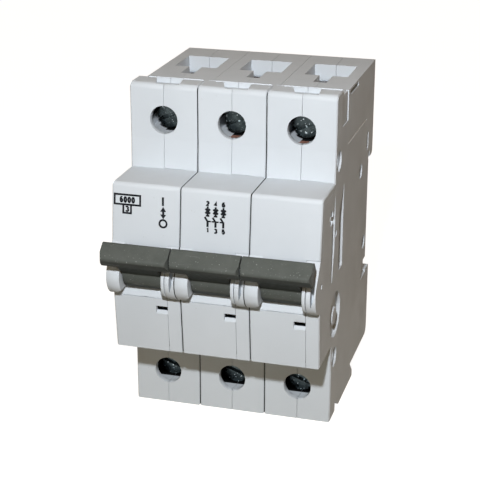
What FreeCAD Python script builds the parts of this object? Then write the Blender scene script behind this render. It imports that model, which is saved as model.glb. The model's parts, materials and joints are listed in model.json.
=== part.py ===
import FreeCAD, Part
import math
import os

V = FreeCAD.Vector

# Three-pole miniature circuit breaker, in millimetres.
# X runs across the poles, the front faces -Y, +Z is up.
# The origin is the middle of the face that seats on the mounting rail.

# Driving dimensions: the row of modules
POLES = 3
PITCH = 18.0
MODULE_GAP = 0.1
CASE_HEIGHT = 89.0
EDGE_CHAMFER = 0.3
SIDE_WALL = 1.3
COVER_WALL = 2.0
WALL = 1.4
PART_GAP = 0.1

# Driving dimensions: depths in front of the rail seat
SHOULDER_DEPTH = 44.0
SHOULDER_FLARE = 0.4
BEND_SPACING = 5.0
NOSE_HEIGHT = 44.7
NOSE_EDGE_DEPTH = 58.2
NOSE_DEPTH = 59.6
NOSE_WALL = 2.8
SHOULDER_WALL = 1.5
LIP_STEP = 1.7
LIP_DEPTH = 6.6
LIP_RIB = 0.25
LIP_NOTCH_BACK = (-3.8, 3.4)
LIP_NOTCH_FRONT = (-2.0, 4.0)
LIP_NOTCH_DEPTH = 2.2
LIP_NOTCH_WALL = 0.7

# Driving dimensions: back of the case, shaped for a 35 mm rail
RAIL_WIDTH = 35.0
RAIL_EDGE = 1.0
RAIL_CLEARANCE = 0.3
RAIL_GRIP = 1.5
SEAT_RELIEF = 0.3
HOOK_DEPTH = 5.5
FOOT_STEP = 5.1
BASE_BACK_DEPTH = 14.5
BASE_NOTCH_DEPTH = 2.9
BACK_POCKET_DEPTH = 6.0

# Driving dimensions: parting plane of each module's two shells
NOSE_PARTING = 5.4
NOSE_SEAM_HEIGHT = 7.2

# Driving dimensions: terminals
TERMINAL_EDGE = 9.4
ACCESS_RADIUS = 3.7
ACCESS_WALL = 2.0
SCREW_DEPTH = 4.8
HEAD_RADIUS = 3.2
HEAD_LENGTH = 2.6
SCREW_RADIUS = 2.45
THREAD_CLEARANCE = 0.05
SLOT_WIDTH = 1.0
SLOT_DEPTH = 1.2
SLOT_TURN = -20.0
ENTRY_WIDTH = 11.6
ENTRY_BACK = 4.5
ENTRY_LENGTH = 12.5
ENTRY_NOTCH_WIDTH = 3.5
ENTRY_NOTCH_LENGTH = 7.5
CAGE_HEIGHT = 7.4
CAGE_SHEET = 0.9
CAGE_NUT = 2.0
CAGE_FLOOR = 1.4
CAGE_FRONT = 25.6
WIRE_SPACE = 8.8
CAGE_TRAVEL = 8.0
SLIDE_CLEARANCE = 0.2
STRAP_THICKNESS = 1.6
STRAP_WIDTH = 8.8

# Driving dimensions: toggle
PIVOT_INSET = 1.5
DRUM_RADIUS = 4.9
DRUM_WIDTH = 10.4
DRUM_CLEARANCE = 0.3
TRUNNION_RADIUS = 1.5
TRUNNION_REACH = 7.2
TOGGLE_WIDTH = 17.6
TOGGLE_FRONT_WIDTH = 16.6
EAR_REACH = 4.9
EAR_BULGE_HEIGHT = -2.0
EAR_BOTTOM = 7.15
EAR_END = (0.3, -6.6)
EAR_TOP = (3.4, 2.6)
EAR_GROOVE = (6.3, 6.5)
EAR_SLOT = (7.6, 8.6)
EAR_SLOT_LOW = -3.6
EAR_SLOT_DEPTH = 2.2
FIN_WIDTH = 2.8
BAR_TOP = (7.8, 9.6)
BAR_FRONT = (12.1, 6.0)
BAR_BOTTOM = (9.3, 3.2)
BAR_BACK = (5.8, 6.7)
BAR_SIDE_DEPTH = 10.4
BAR_FRONT_DEPTH = 11.8
NECK_LOW = (4.87, 0.1)
TIE_PLACE = (8.3, 5.6)
TIE_DEPTH = 2.0
TIE_HEIGHT = 1.6
TIE_LENGTH = 46.0
PIN_CLEARANCE = 0.05

# Driving dimensions: switching mechanism
BRAID_THICKNESS = 0.9
BRAID_SEAT = 1.4
BRAID_FRONT = -37.8
LINK_RADIUS = 0.6
LINK_CRANK = 3.2
LINK_CRANK_ANGLE = -35.0
LINK_SLOT = 0.9
LINK_SLOT_CLEARANCE = 0.25
LINK_SLOT_ANGLE = 9.0
LINK_OFFSET = 2.3
CARRIER_PIVOT = (-42.0, -6.0)
CARRIER_ARM = 8.0
HUB_RADIUS = 2.6
HUB_WIDTH = 8.0
PIVOT_RADIUS = 1.0
BLADE_WIDTH = 5.0
BLADE_THICKNESS = 1.2
BLADE_SEAT = (1.7, 3.2)
CONTACT_HEIGHT = -18.4
CONTACT_RADIUS = 1.6
CONTACT_THICKNESS = 0.8
CONTACT_GAP = 0.1
STRAP_REACH = 2.4
FIXED_STRAP_WIDTH = 6.0
FIXED_STRAP_THICKNESS = 1.1
FIXED_CONTACT_FACE = -38.0
TRIP_PIVOT = (-42.2, 8.5)
TRIP_SHAFT_RADIUS = 1.0
TRIP_WIDTH = 6.0
TRIP_HUB_RADIUS = 2.2
COIL_AXIS = 4.0
COIL_RADIUS = 5.9
COIL_STRIP = 1.3
COIL_TURNS = 6
COIL_FRONT = -31.2
COIL_BACK = -13.6
YOKE_SHEET = 1.0
YOKE_WIDTH = 12.4
CHEEK_DEPTH = 3.5
PLUNGER_RADIUS = 2.2
PLUNGER_PIN_RADIUS = 0.8
PLUNGER_TIP = -38.8
BIMETAL_THICKNESS = 0.8
BIMETAL_INSET = 6.0
BIMETAL_WIDTH = 5.0
BIMETAL_TIP = 9.4
BIMETAL_FOOT = 3.0
TRIP_ARM_GAP = 0.5
TRIP_ARM_TOP = 11.4
TRIP_ARM_THICKNESS = 1.2
LATCH_TOP = 0.7
PLATE_COUNT = 8
PLATE_THICKNESS = 1.0
PLATE_MARGIN = 0.7
PLATE_NOTCH_WIDTH = 6.4
PLATE_NOTCH_DEPTH = 8.5
CHUTE_FRONT = -33.0
CHUTE_BACK = -7.2
CHUTE_CLEARANCE = 1.7
CHEEK_THICKNESS = 0.4
BARRIER_Z = -9.4
BARRIER_THICKNESS = 1.0

# Driving dimensions: rail clip and rivets
CLIP_WIDTH = 10.0
CLIP_THICKNESS = 3.1
CLIP_SETBACK = 1.1
CLIP_TAIL_WIDTH = 13.0
RIVET_RADIUS = 1.2
RIVET_INSET = 3.2
NOSE_RIVET = (11.6, 14.4)
RIVET_HEAD_RADIUS = 1.8
RIVET_HEAD_LENGTH = 0.5
BOSS_WIDTH = 4.8
RECESS_DEPTH = 1.1

# Derived values
TOP = CASE_HEIGHT / 2
ROOF = TOP - LIP_STEP
TERMINAL_HEIGHT = TOP - TERMINAL_EDGE
SHOULDER_BEND = TERMINAL_HEIGHT - BEND_SPACING
FOOT_BOTTOM = TOP - FOOT_STEP
CLIP_TAIL = TOP - CLIP_SETBACK
HALF_MODULE = (PITCH - MODULE_GAP) / 2
INNER_LEFT = -HALF_MODULE + SIDE_WALL
INNER_RIGHT = HALF_MODULE - COVER_WALL
NOSE_TOP = NOSE_HEIGHT / 2
FRONT = -SHOULDER_DEPTH
LIP_BACK = FRONT + LIP_DEPTH
RAIL_HALF = RAIL_WIDTH / 2
SEAT_HALF = RAIL_HALF + RAIL_CLEARANCE + 0.1
SEAT_EDGE = RAIL_HALF - RAIL_GRIP - SEAT_RELIEF
CHAMBER_TOP = SHOULDER_BEND - SHOULDER_WALL
CHUTE_BOTTOM = CHUTE_CLEARANCE - CHAMBER_TOP
PLATE_PITCH = (BARRIER_Z - CHUTE_BOTTOM - PLATE_MARGIN) / PLATE_COUNT
NOSE_INNER = -NOSE_DEPTH + NOSE_WALL
TOGGLE_PIVOT = PIVOT_INSET - NOSE_DEPTH
BIMETAL_FACE = BIMETAL_INSET - NOSE_DEPTH
TRIP_ARM_FACE = BIMETAL_FACE + TRIP_ARM_GAP
ENTRY_FRONT = -ENTRY_BACK - ENTRY_LENGTH
CHAMBER_FRONT = FRONT + ACCESS_WALL
HEAD_FRONT = FRONT + SCREW_DEPTH
HEAD_BACK = HEAD_FRONT + HEAD_LENGTH
CAGE_OUTER = ENTRY_WIDTH / 2 - SLIDE_CLEARANCE
CAGE_BACK = -CAGE_FRONT + CAGE_NUT + WIRE_SPACE + CAGE_TRAVEL + CAGE_FLOOR - 0.4
STRAP_BACK = CAGE_BACK - CAGE_FLOOR - WIRE_SPACE
STRAP_FRONT = STRAP_BACK - STRAP_THICKNESS
STRAP_OUTER = TERMINAL_HEIGHT + CAGE_HEIGHT / 2 - SLIDE_CLEARANCE
TUNNEL_HALF = CAGE_HEIGHT / 2 + SLIDE_CLEARANCE
TRIP_Y, TRIP_Z = TRIP_PIVOT
CARRIER_Y, CARRIER_Z = CARRIER_PIVOT
CRANK_TURN = math.radians(LINK_CRANK_ANGLE)
LINK_TOP = (
    TOGGLE_PIVOT + LINK_CRANK * math.cos(CRANK_TURN),
    LINK_CRANK * math.sin(CRANK_TURN),
)
ARM_TURN = math.asin(-LINK_TOP[1] / CARRIER_ARM)
LINK_BOTTOM = (
    CARRIER_Y - CARRIER_ARM * math.cos(ARM_TURN),
    CARRIER_Z - CARRIER_ARM * math.sin(ARM_TURN),
)

# Rivets as (y, z, recess radius) seen on the side of the case
RIVETS = [
    (-40.3, SHOULDER_BEND - RIVET_INSET, 2.75),
    (-40.3, RIVET_INSET - SHOULDER_BEND, 2.75),
    (NOSE_RIVET[0] - NOSE_DEPTH, NOSE_RIVET[1], 2.05),
    (-11.0, 15.4, 2.05),
    (-3.8, -7.6, 2.05),
]


def unit(vector):
    """The same direction with length one."""
    copy = V(vector)
    copy.normalize()
    return copy


def outline(points, radii):
    """Closed wire through points, each corner rounded by its radius."""
    count = len(points)
    starts = []
    middles = []
    ends = []
    for i, point in enumerate(points):
        before = unit(points[i - 1] - point)
        after = unit(points[(i + 1) % count] - point)
        half = before.getAngle(after) / 2
        reach = radii[i] / math.tan(half)
        centre = point + unit(before + after) * (radii[i] / math.sin(half))
        starts.append(point + before * reach)
        middles.append(centre + unit(point - centre) * radii[i] if radii[i] else point)
        ends.append(point + after * reach)
    edges = []
    for i in range(count):
        if radii[i]:
            edges.append(Part.Arc(starts[i], middles[i], ends[i]).toShape())
        onward = starts[(i + 1) % count]
        if (onward - ends[i]).Length > 1e-6:
            edges.append(Part.LineSegment(ends[i], onward).toShape())
    return Part.Wire(edges)


def side_prism(corners, x_low, x_high):
    """Solid from side-view corners (y, z) or (y, z, radius), between two x."""
    points = [V(x_low, corner[0], corner[1]) for corner in corners]
    radii = [corner[2] if len(corner) > 2 else 0.0 for corner in corners]
    face = Part.Face(outline(points, radii))
    return face.extrude(V(x_high - x_low, 0, 0))


def plan_prism(corners, z_low, z_high):
    """Solid from plan-view corners (x, y) or (x, y, radius), between two z."""
    points = [V(corner[0], corner[1], z_low) for corner in corners]
    radii = [corner[2] if len(corner) > 2 else 0.0 for corner in corners]
    face = Part.Face(outline(points, radii))
    return face.extrude(V(0, 0, z_high - z_low))


def block(x_low, x_high, y_low, y_high, z_low, z_high):
    """Box between two corners."""
    size = (x_high - x_low, y_high - y_low, z_high - z_low)
    return Part.makeBox(*size, V(x_low, y_low, z_low))


def rod_x(y, z, radius, x_low, x_high):
    """Cylinder along X."""
    return Part.makeCylinder(radius, x_high - x_low, V(x_low, y, z), V(1, 0, 0))


def rod_y(x, z, radius, y_low, y_high):
    """Cylinder along Y."""
    return Part.makeCylinder(radius, y_high - y_low, V(x, y_low, z), V(0, 1, 0))


def about(pivot, radius, degrees):
    """Side-view point at a radius and angle from a pivot."""
    turn = math.radians(degrees)
    return (pivot[0] + radius * math.cos(turn), pivot[1] + radius * math.sin(turn))


def flipped(shape):
    """Mirror image in the plane z = 0."""
    return shape.mirror(V(0, 0, 0), V(0, 0, 1))


def fused(shapes):
    """One solid from several."""
    return shapes[0].fuse(shapes[1:]).removeSplitter()


def strip_coil(axis, start, end, turns, radius, width, depth, steps):
    """Helical winding of rectangular strip about a line along X or Y, in flats."""
    total = turns * steps
    rise = (end - start - width) / total
    rings = []
    for i in range(total + 1):
        turn = 2 * math.pi * i / steps
        along = start + rise * i
        ring = []
        for offset, r in ((0, radius - depth), (width, radius - depth), (width, radius), (0, radius)):
            a = r * math.cos(turn)
            b = r * math.sin(turn)
            ring.append(V(a, along + offset, b) if axis == "y" else V(along + offset, a, b))
        rings.append(ring)
    faces = [flat_face(rings[0]), flat_face(rings[-1])]
    for ring, following in zip(rings, rings[1:]):
        for k in range(4):
            corner = (k + 1) % 4
            faces.append(flat_face([ring[k], ring[corner], following[corner]]))
            faces.append(flat_face([ring[k], following[corner], following[k]]))
    solid = Part.Solid(Part.Shell(faces))
    if solid.Volume < 0:
        solid.reverse()
    return solid


def flat_face(corners):
    """Flat face with straight edges."""
    return Part.Face(Part.makePolygon(corners + corners[:1]))


# Case shells

def case_block():
    """Outer form of one module: shoulders, nose, lips, hook and foot."""
    nose_side = [
        (-NOSE_EDGE_DEPTH, NOSE_TOP, 1.2),
        (-NOSE_DEPTH, NOSE_SEAM_HEIGHT),
        (-NOSE_DEPTH, -NOSE_SEAM_HEIGHT),
        (-NOSE_EDGE_DEPTH, -NOSE_TOP),
    ]
    back = [
        (HOOK_DEPTH, ROOF),
        (HOOK_DEPTH, RAIL_HALF - RAIL_GRIP, 1.6),
        (RAIL_EDGE + RAIL_CLEARANCE, RAIL_HALF - RAIL_GRIP),
        (RAIL_EDGE + RAIL_CLEARANCE, SEAT_HALF),
        (-SEAT_RELIEF, SEAT_HALF),
        (-SEAT_RELIEF, SEAT_EDGE),
        (0, SEAT_EDGE),
        (0, -SEAT_EDGE),
        (-SEAT_RELIEF, -SEAT_EDGE),
        (-SEAT_RELIEF, -SEAT_HALF),
        (HOOK_DEPTH, -SEAT_HALF),
        (HOOK_DEPTH, -FOOT_BOTTOM, 2.2),
    ]
    underside = [
        (-BASE_BACK_DEPTH - 3.3, -FOOT_BOTTOM),
        (-BASE_BACK_DEPTH, -FOOT_BOTTOM - 3.2),
        (-BASE_BACK_DEPTH, -TOP),
        (LIP_BACK + 4.6, -TOP),
        (LIP_BACK - 0.2, -TOP + BASE_NOTCH_DEPTH),
        (LIP_BACK - 0.2, -TOP),
    ]
    front = [
        (FRONT, -TOP),
        (FRONT, -SHOULDER_BEND),
        (FRONT - SHOULDER_FLARE, -NOSE_TOP),
    ]
    top = [
        (FRONT - SHOULDER_FLARE, NOSE_TOP),
        (FRONT, SHOULDER_BEND),
        (FRONT, TOP, 1.5),
        (LIP_BACK, TOP),
        (LIP_BACK, ROOF),
    ]
    corners = top + back + underside + front + list(reversed(nose_side))
    body = side_prism(corners, -HALF_MODULE, HALF_MODULE)
    sides = []
    for edge in body.Edges:
        middle = edge.CenterOfMass
        on_side = abs(abs(middle.x) - HALF_MODULE) < 1e-4
        if on_side and (middle.y < LIP_BACK - 0.5 or middle.z > ROOF - 0.5):
            if edge.BoundBox.YMax < HOOK_DEPTH - 0.1:
                sides.append(edge)
    return body.makeChamfer(EDGE_CHAMFER, sides)


def ear(x_low, x_high):
    """Rounded cheek beside the drum, fullest a little below the pivot."""
    reach, height = EAR_TOP
    top = V(x_low, -NOSE_DEPTH - reach, height)
    bulge = V(x_low, -NOSE_DEPTH - EAR_REACH, EAR_BULGE_HEIGHT)
    end = V(x_low, -NOSE_DEPTH - EAR_END[0], EAR_END[1])
    inner = -NOSE_DEPTH + 0.7
    high = NOSE_SEAM_HEIGHT - 0.1
    path = [
        end, V(x_low, inner, EAR_END[1]), V(x_low, inner, high),
        V(x_low, -NOSE_DEPTH, high), top,
    ]
    edges = [Part.LineSegment(a, b).toShape() for a, b in zip(path, path[1:])]
    edges.append(Part.Arc(top, bulge, end).toShape())
    return Part.Face(Part.Wire(edges)).extrude(V(x_high - x_low, 0, 0))


def terminal_space():
    """Upper terminal: screw access, cage chamber, wire entry and strap slot."""
    low = TERMINAL_HEIGHT - TUNNEL_HALF
    high = TERMINAL_HEIGHT + TUNNEL_HALF
    half = ENTRY_WIDTH / 2
    notch = ENTRY_NOTCH_WIDTH / 2
    notch_front = ENTRY_FRONT - ENTRY_NOTCH_LENGTH
    keyhole = [
        (-half, -ENTRY_BACK),
        (-half, ENTRY_FRONT),
        (-notch, ENTRY_FRONT),
        (-notch, notch_front),
        (notch, notch_front),
        (notch, ENTRY_FRONT),
        (half, ENTRY_FRONT),
        (half, -ENTRY_BACK),
    ]
    strap_half = STRAP_WIDTH / 2 + 0.1
    return [
        rod_y(0, TERMINAL_HEIGHT, ACCESS_RADIUS, FRONT - 1, CHAMBER_FRONT + 1),
        block(-half, half, CHAMBER_FRONT, -ENTRY_BACK, low, high),
        plan_prism(keyhole, high - 0.5, TOP + 5),
        block(
            -strap_half, strap_half, STRAP_FRONT - 0.1, STRAP_BACK + 0.1,
            CHAMBER_TOP - 1, low + 1,
        ),
    ]


def mechanism_space():
    """Main chamber behind the nose, with the openings for the toggle."""
    low = -CHAMBER_TOP
    nose_low = -NOSE_TOP + WALL + 0.2
    inner_front = FRONT + WALL
    chamber = [
        (NOSE_INNER, -nose_low),
        (NOSE_INNER, nose_low),
        (inner_front, nose_low),
        (inner_front, low),
        (-WALL, low),
        (-WALL, CHAMBER_TOP),
        (inner_front, CHAMBER_TOP),
        (inner_front, -nose_low),
    ]
    return side_prism(chamber, INNER_LEFT, INNER_RIGHT)


def toggle_opening():
    """Space for the drum and the sloping ledge under it."""
    half = DRUM_WIDTH / 2 + DRUM_CLEARANCE
    drum = rod_x(TOGGLE_PIVOT, 0, DRUM_RADIUS + DRUM_CLEARANCE, -half, half)
    ledge_top = -4.7
    ledge_back = TOGGLE_PIVOT - 0.35
    far = TOGGLE_PIVOT - BAR_FRONT[0] - 1
    wide = HALF_MODULE - 0.5
    sections = []
    for z, reach, back in ((ledge_top, half, ledge_back), (-EAR_BOTTOM, wide, -NOSE_DEPTH)):
        ring = [V(-reach, far, z), V(reach, far, z), V(reach, back, z), V(-reach, back, z)]
        sections.append(Part.makePolygon(ring + ring[:1]))
    return [drum, Part.makeLoft(sections, True, True)]


def cheek_blocks():
    """Solid cheeks beside the drum that carry its trunnions."""
    half = DRUM_WIDTH / 2 + DRUM_CLEARANCE
    front = -NOSE_DEPTH + 0.5
    back = TOGGLE_PIVOT + CHEEK_DEPTH
    corners = [(front, 5), (front, -5), (back, -3.4), (back, 3.4)]
    left = side_prism(corners, INNER_LEFT - 0.5, -half)
    right = side_prism(corners, half, INNER_RIGHT + 0.5)
    return [left, right]


def rivet_bosses():
    """Square pillars that carry each rivet from side wall to side wall."""
    half = BOSS_WIDTH / 2
    return [
        block(INNER_LEFT - 0.4, INNER_RIGHT + 0.4, y - half, y + half, z - half, z + half)
        for y, z, _ in RIVETS
    ]


def through_holes(left_end):
    """Rivet bores, recessed on the right and at the row's left end, and pivot bores."""
    wide = HALF_MODULE + 1
    cuts = []
    for y, z, recess in RIVETS:
        cuts.append(rod_x(y, z, RIVET_RADIUS + PIN_CLEARANCE, -wide, wide))
        cuts.append(rod_x(y, z, recess, HALF_MODULE - RECESS_DEPTH, wide))
        if left_end:
            cuts.append(rod_x(y, z, recess, -wide, -HALF_MODULE + RECESS_DEPTH))
    reach = TRUNNION_REACH + 0.1
    cuts.append(rod_x(TOGGLE_PIVOT, 0, TRUNNION_RADIUS + PIN_CLEARANCE, -reach, reach))
    cuts.append(rod_x(TOGGLE_PIVOT, 0, TRUNNION_RADIUS / 2, reach - 0.5, wide))
    cuts.append(rod_x(TRIP_Y, TRIP_Z, TRIP_SHAFT_RADIUS + PIN_CLEARANCE, -wide, wide))
    pin_reach = HALF_MODULE - 0.6
    cuts.append(rod_x(CARRIER_Y, CARRIER_Z, PIVOT_RADIUS, -pin_reach, pin_reach))
    return cuts


def ear_grooves():
    """Thin line and wedge-shaped slot in the front of the right-hand ear."""
    front = -NOSE_DEPTH - EAR_REACH - 1
    low = 1 - EAR_BOTTOM
    line = block(*EAR_GROOVE, front, -NOSE_DEPTH - 1, low, NOSE_SEAM_HEIGHT)
    left, right = EAR_SLOT
    high = NOSE_SEAM_HEIGHT
    corners = [(left, EAR_SLOT_LOW), (right, EAR_SLOT_LOW + 3), (right, high), (left, high)]
    points = [V(x, front, z) for x, z in corners]
    slot = Part.Face(outline(points, [0.0] * len(points)))
    return [line, slot.extrude(V(0, EAR_SLOT_DEPTH + 1, 0))]


def lip_slots():
    """Slots for a label holder behind the top lip, in both side faces."""
    face = HALF_MODULE + 1
    low = TOP - 9.6
    back = LIP_BACK + 7.0
    cuts = []
    for depth, y_low, y_high in (
            (0.2, LIP_BACK, back),
            (0.9, LIP_BACK, LIP_BACK + 1.0),
            (0.9, back - 1.0, back)):
        cuts.append(block(HALF_MODULE - depth, face, y_low, y_high, low, TOP + 1))
        cuts.append(block(-face, -HALF_MODULE + depth, y_low, y_high, low, TOP + 1))
    return cuts


def side_marks():
    """Recesses moulded in the right side face."""
    face = HALF_MODULE + 1
    deep = HALF_MODULE - RECESS_DEPTH
    shallow = HALF_MODULE - RECESS_DEPTH / 2
    cuts = [
        side_prism(
            [(-28.5, ROOF - 1.8), (-17.8, ROOF - 1.8), (-17.8, ROOF - 0.6),
             (-28.5, ROOF - 0.6)], deep, face),
        block(shallow, face, -30.0, -5.3, CHAMBER_TOP - 0.3, CHAMBER_TOP + 0.2),
        side_prism(
            [(-38.2, -3.5, 1.5), (-33.4, -3.5, 1.0), (-33.4, 19.2), (-38.2, 12.5)],
            deep, face),
        side_prism(
            [(-46.9, -3.7), (-45.6, -3.7), (-43.6, 5.5), (-43.6, 19.4), (-46.9, 12.0)],
            shallow, face),
        side_prism(
            [(-3.6, 19.0, 1.2), (-1.0, 19.0, 1.2), (-1.0, 24.4, 1.2), (-3.6, 24.4, 1.2)],
            deep, face),
        block(shallow, face, -6.0, 1.0, -SEAT_HALF - 0.6, -13.4),
    ]
    ring = rod_x(-40.5, -14.6, 6.2, deep, face)
    hub = rod_x(-41.4, -14.6, 2.4, deep - 1, face + 1)
    cuts.append(ring.cut(hub))
    return cuts


def clip_channel():
    """Straight channel in the foot for the rail clip."""
    half = CLIP_WIDTH / 2 + SLIDE_CLEARANCE
    front = RAIL_EDGE + 0.05
    back = front + CLIP_THICKNESS + 2 * SLIDE_CLEARANCE - 0.05
    return block(-half, half, front, back, -FOOT_BOTTOM - 1, -SEAT_HALF + 1)


def front_details():
    """Index pocket, seam under the ledge and the notch in the top lip."""
    pocket = side_prism(
        [(-NOSE_DEPTH - 1, -9.5), (NOSE_INNER + 1, -9.5), (NOSE_INNER + 1, -10.9),
         (-NOSE_DEPTH + 1.2, -10.9), (-NOSE_DEPTH - 0.1, -12.2), (-NOSE_DEPTH - 1, -12.2)],
        NOSE_PARTING - 3.0, NOSE_PARTING)
    wide = HALF_MODULE + 1
    seam_low = -EAR_BOTTOM - 0.25
    seam = block(-wide, wide, -NOSE_DEPTH - 1, -NOSE_DEPTH + 0.3, seam_low, -EAR_BOTTOM)
    y_low = FRONT + LIP_NOTCH_WALL
    y_high = LIP_BACK - LIP_NOTCH_WALL
    notch = plan_prism(
        [(LIP_NOTCH_BACK[0], y_high), (LIP_NOTCH_FRONT[0], y_low),
         (LIP_NOTCH_FRONT[1], y_low), (LIP_NOTCH_BACK[1], y_high)],
        TOP - LIP_NOTCH_DEPTH, TOP + 1)
    return [pocket, seam, notch]


def back_pockets():
    """Lightening pockets in the back above the rail."""
    y_low = HOOK_DEPTH - BACK_POCKET_DEPTH
    cuts = []
    for x_low, x_high in ((INNER_LEFT + 0.3, -1.2), (1.2, INNER_RIGHT - 0.1)):
        cuts.append(block(x_low, x_high, y_low, HOOK_DEPTH + 1, SEAT_HALF + 2.2, ROOF - 2.2))
    return cuts


def parting_region(gap):
    """Space that the left shell owns, grown by a gap on its parting faces."""
    far = 100
    left = -HALF_MODULE - 2
    ends = NOSE_TOP - gap
    return fused([
        block(left, gap, -far, far, -far, far),
        block(left, NOSE_PARTING + gap, -far, far, -NOSE_TOP - gap, NOSE_TOP + gap),
        block(
            left, -left, -far, NOSE_INNER - 0.1 + gap,
            NOSE_SEAM_HEIGHT - gap, NOSE_TOP + gap,
        ),
        block(
            left, -left, -far, FRONT - SHOULDER_FLARE + gap,
            NOSE_TOP - WALL - 0.2 - gap, ends + 2 * gap,
        ),
    ])


def case_shells(left_end):
    """The two shells of one module, centred on x = 0."""
    half = DRUM_WIDTH / 2 + DRUM_CLEARANCE
    rib_back = LIP_BACK - 0.1
    body = fused([
        case_block(),
        ear(-HALF_MODULE, -half),
        ear(half, HALF_MODULE),
        block(-6.0, 5.5, rib_back - 0.4, rib_back, TOP - 0.5, TOP + LIP_RIB),
    ])
    body = body.cut(mechanism_space())
    barrier = block(
        INNER_LEFT - 0.3, INNER_RIGHT + 0.3, -35.8, -WALL + 0.3,
        BARRIER_Z, BARRIER_Z + BARRIER_THICKNESS,
    )
    body = fused([body, barrier] + cheek_blocks() + rivet_bosses())
    upper = terminal_space()
    cuts = upper + [flipped(cut) for cut in upper]
    cuts += toggle_opening() + through_holes(left_end)
    cuts += front_details() + back_pockets() + lip_slots()
    cuts.append(clip_channel())
    cuts += side_marks() + ear_grooves()
    body = body.cut(cuts)
    left_shell = body.common(parting_region(0))
    right_shell = body.cut(parting_region(PART_GAP))
    return largest(left_shell), largest(right_shell)


def largest(shape):
    """The biggest solid of a shape."""
    return max(shape.Solids, key=lambda solid: solid.Volume)


# Terminals

def terminal_screw():
    """Slotted cheese-head screw whose tip bears on the strap."""
    head = rod_y(0, TERMINAL_HEIGHT, HEAD_RADIUS, HEAD_FRONT, HEAD_BACK)
    shank = rod_y(0, TERMINAL_HEIGHT, SCREW_RADIUS, HEAD_BACK, STRAP_FRONT - 0.1)
    screw = head.fuse(shank)
    reach = HEAD_RADIUS + 1
    slot_floor = HEAD_FRONT + SLOT_DEPTH
    half = SLOT_WIDTH / 2
    slot = block(
        -reach, reach, HEAD_FRONT - 1, slot_floor,
        TERMINAL_HEIGHT - half, TERMINAL_HEIGHT + half,
    )
    screw = screw.cut(slot)
    screw.rotate(V(0, 0, TERMINAL_HEIGHT), V(0, 1, 0), SLOT_TURN)
    return screw.removeSplitter()


def terminal_cage():
    """Loop of sheet steel with a threaded front plate and a ribbed floor."""
    low = TERMINAL_HEIGHT - CAGE_HEIGHT / 2
    high = TERMINAL_HEIGHT + CAGE_HEIGHT / 2
    front = -CAGE_FRONT
    outer = block(-CAGE_OUTER, CAGE_OUTER, front, CAGE_BACK, low, high)
    inner_x = CAGE_OUTER - CAGE_SHEET
    inside = block(
        -inner_x, inner_x, front + CAGE_NUT, CAGE_BACK - CAGE_FLOOR, low - 1, high + 1)
    bore = rod_y(0, TERMINAL_HEIGHT, SCREW_RADIUS + THREAD_CLEARANCE, front - 1, front + 3)
    return outer.cut([inside, bore])


def terminal_strap():
    """Copper strap of the upper terminal, down to the coil's yoke."""
    half = STRAP_WIDTH / 2
    foot = COIL_AXIS + COIL_RADIUS + YOKE_SHEET + 0.7
    corners = [
        (STRAP_FRONT, STRAP_OUTER), (STRAP_BACK, STRAP_OUTER),
        (STRAP_BACK, foot), (STRAP_FRONT, foot),
    ]
    return side_prism(corners, -half, half)


def arc_runner_strap():
    """Copper strap of the lower terminal, bent forward under the arc chute."""
    half = STRAP_WIDTH / 2
    floor = -CHAMBER_TOP + 0.1
    thick = 1.2
    corners = [
        (STRAP_FRONT, -STRAP_OUTER), (STRAP_BACK, -STRAP_OUTER),
        (STRAP_BACK, floor + thick), (-37.5, floor + thick),
        (-37.5, floor), (STRAP_FRONT, floor),
    ]
    return side_prism(corners, -half, half)


# Toggle and switching mechanism

def in_front(place):
    """Side-view point given by its reach in front of the toggle's pivot and height."""
    return (TOGGLE_PIVOT - place[0], place[1])


def tie_strip(clearance):
    """Flat strip that ties the handle bars together, grown by a clearance."""
    y, z = in_front(TIE_PLACE)
    reach = TIE_LENGTH / 2 + clearance
    deep = TIE_DEPTH / 2 + clearance
    high = TIE_HEIGHT / 2 + clearance
    return block(-reach, reach, y - deep, y + deep, z - high, z + high)


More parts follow.
